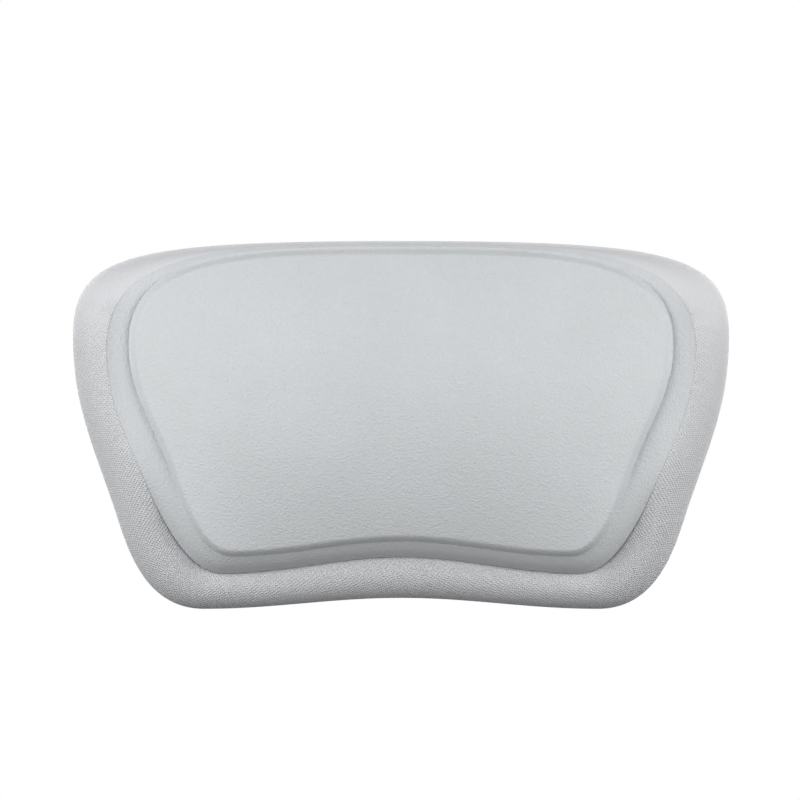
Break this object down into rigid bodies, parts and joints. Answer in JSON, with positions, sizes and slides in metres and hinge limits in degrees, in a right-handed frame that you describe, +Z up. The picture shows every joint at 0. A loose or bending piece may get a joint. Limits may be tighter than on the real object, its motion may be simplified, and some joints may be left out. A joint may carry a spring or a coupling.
{
  "type": "bath pillow",
  "caption": "Moulded foam bath pillow with a grained flange, a crowned head panel and an arched neck edge, held to the tub wall by suction cups on keyhole studs.",
  "frame": {"origin": "middle of the four suction cups, on the plane of the tub wall that their lips touch", "axes": "+X across the pillow to the viewer's right, +Y from the head panel into the tub wall, +Z up"},
  "size_m": [0.33, 0.0696, 0.185],
  "materials": {
    "grained_foam": "coarse moulded grain",
    "pad_skin": "fine moulded grain",
    "core_foam": "open-cell foam",
    "dark_plastic": "as moulded",
    "plate_plastic": "satin",
    "acetal": "smooth",
    "vinyl": "clear, glossy",
    "steel": "bright"
  },
  "bodies": {
    "pillow": {"base_flange": "grained_foam", "pad_cover": "pad_skin", "pad_core": "core_foam", "core_board": "dark_plastic", "carrier_plate": "plate_plastic", "socket_cap_upper_left": "dark_plastic", "socket_cap_upper_right": "dark_plastic", "socket_cap_lower_left": "dark_plastic", "socket_cap_lower_right": "dark_plastic", "plate_screw_1": "steel", "plate_screw_2": "steel", "plate_screw_3": "steel", "plate_screw_4": "steel", "plate_screw_5": "steel", "plate_screw_6": "steel"},
    "stud_upper_left": {"cup_stud_upper_left": "acetal"},
    "cup_upper_left": {"suction_cup_upper_left": "vinyl"},
    "stud_upper_right": {"cup_stud_upper_right": "acetal"},
    "cup_upper_right": {"suction_cup_upper_right": "vinyl"},
    "stud_lower_left": {"cup_stud_lower_left": "acetal"},
    "cup_lower_left": {"suction_cup_lower_left": "vinyl"},
    "stud_lower_right": {"cup_stud_lower_right": "acetal"},
    "cup_lower_right": {"suction_cup_lower_right": "vinyl"}
  },
  "joints": [
    {"name": "stud_slide_upper_left", "type": "slide", "parent": "pillow", "child": "stud_upper_left", "axis": [0, 0, 1], "range_m": [-0.012, 0]},
    {"name": "cup_swivel_upper_left", "type": "hinge", "parent": "stud_upper_left", "child": "cup_upper_left", "pos_m": [-0.092, 0, 0.026], "axis": [0, 1, 0], "continuous": true},
    {"name": "stud_slide_upper_right", "type": "slide", "parent": "pillow", "child": "stud_upper_right", "axis": [0, 0, 1], "range_m": [-0.012, 0]},
    {"name": "cup_swivel_upper_right", "type": "hinge", "parent": "stud_upper_right", "child": "cup_upper_right", "pos_m": [0.092, 0, 0.026], "axis": [0, 1, 0], "continuous": true},
    {"name": "stud_slide_lower_left", "type": "slide", "parent": "pillow", "child": "stud_lower_left", "axis": [0, 0, 1], "range_m": [-0.012, 0]},
    {"name": "cup_swivel_lower_left", "type": "hinge", "parent": "stud_lower_left", "child": "cup_lower_left", "pos_m": [-0.064, 0, -0.026], "axis": [0, 1, 0], "continuous": true},
    {"name": "stud_slide_lower_right", "type": "slide", "parent": "pillow", "child": "stud_lower_right", "axis": [0, 0, 1], "range_m": [-0.012, 0]},
    {"name": "cup_swivel_lower_right", "type": "hinge", "parent": "stud_lower_right", "child": "cup_lower_right", "pos_m": [0.064, 0, -0.026], "axis": [0, 1, 0], "continuous": true}
  ]
}
